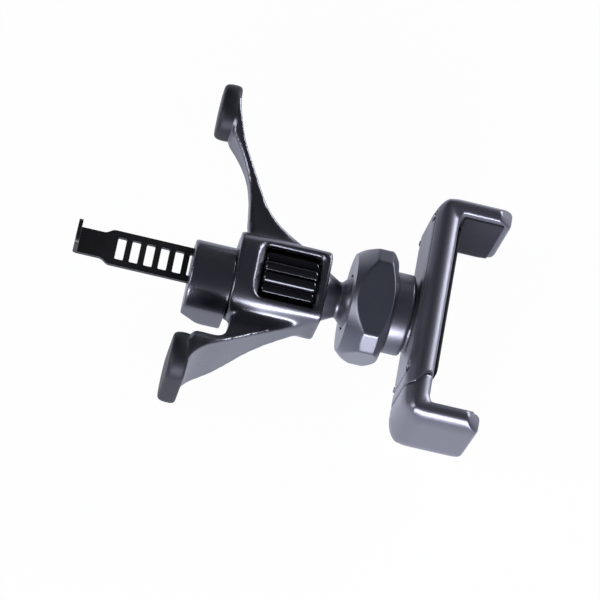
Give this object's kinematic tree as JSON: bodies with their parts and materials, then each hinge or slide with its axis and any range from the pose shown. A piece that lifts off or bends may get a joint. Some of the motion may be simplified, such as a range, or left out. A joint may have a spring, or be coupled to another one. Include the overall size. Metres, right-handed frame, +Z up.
{
  "type": "phone holder",
  "caption": "Car vent phone holder: a flat hook drawn in by a ribbed wheel, two swept arms with rubber feet, a ball joint with lock nut and a sprung clamp.",
  "frame": {"origin": "on the hook's centre line, in the plane where both rubber feet meet the vent", "axes": "+X from the vent to the phone, +Y to the left seen from the phone's back, +Z up"},
  "size_m": [0.1046, 0.083, 0.0296],
  "materials": {
    "black_steel": "satin black coated spring steel",
    "black_plastic": "fine matt moulded plastic",
    "satin_plastic": "satin moulded plastic",
    "nut_plastic": "smooth satin plastic",
    "gloss_black": "glossy black plastic",
    "rubber": "matt black rubber",
    "soft_pad": "soft black foam rubber",
    "nylon": "natural nylon",
    "bright_steel": "zinc plated steel"
  },
  "bodies": {
    "holder": {"yoke": "black_plastic", "foot_pad_left": "rubber", "foot_pad_right": "rubber", "nose_guide": "black_plastic", "ball_stud": "satin_plastic"},
    "hook": {"hook_strap": "black_steel"},
    "wheel": {"thumb_wheel": "gloss_black"},
    "liner": {"ball_liner": "nylon"},
    "friction": {"friction_pad": "rubber"},
    "nut": {"lock_nut": "nut_plastic"},
    "clamp": {"socket_collar": "satin_plastic", "clamp_body": "black_plastic", "back_cover": "black_plastic", "guide_rod_upper": "bright_steel", "guide_rod_lower": "bright_steel", "spring_upper": "bright_steel", "spring_lower": "bright_steel", "fixed_jaw_pad": "soft_pad", "bed_pad": "soft_pad", "cover_screws": "bright_steel", "socket_screw": "bright_steel"},
    "jaw": {"sliding_jaw": "black_plastic", "sliding_jaw_pad": "soft_pad"}
  },
  "joints": [
    {"name": "wheel_turn", "type": "hinge", "parent": "holder", "child": "wheel", "pos_m": [0.025, 0, 0], "axis": [1, 0, 0], "range_deg": [0, 720]},
    {"name": "hook_draw", "type": "slide", "parent": "holder", "child": "hook", "axis": [1, 0, 0], "range_m": [0, 0.007]},
    {"name": "ball_pan", "type": "hinge", "parent": "holder", "child": "liner", "pos_m": [0.0445, 0, 0], "axis": [0, 0, 1], "range_deg": [-15, 15]},
    {"name": "ball_tilt", "type": "hinge", "parent": "liner", "child": "friction", "pos_m": [0.0445, 0, 0], "axis": [0, 1, 0], "range_deg": [-15, 15]},
    {"name": "ball_roll", "type": "hinge", "parent": "friction", "child": "clamp", "pos_m": [0.0445, 0, 0], "axis": [1, 0, 0], "continuous": true},
    {"name": "nut_turn", "type": "hinge", "parent": "clamp", "child": "nut", "pos_m": [0.0445, 0, 0], "axis": [1, 0, 0], "range_deg": [0, 90]},
    {"name": "jaw_slide", "type": "slide", "parent": "clamp", "child": "jaw", "axis": [0, -1, 0], "range_m": [0, 0.024], "stiffness_N_per_m": 150, "springref_m": -0.01, "deforming": ["spring_upper", "spring_lower"]}
  ],
  "couplings": [
    {"joint": "wheel_turn", "follows": "hook_draw", "rad_per_m": 1795.2}
  ]
}
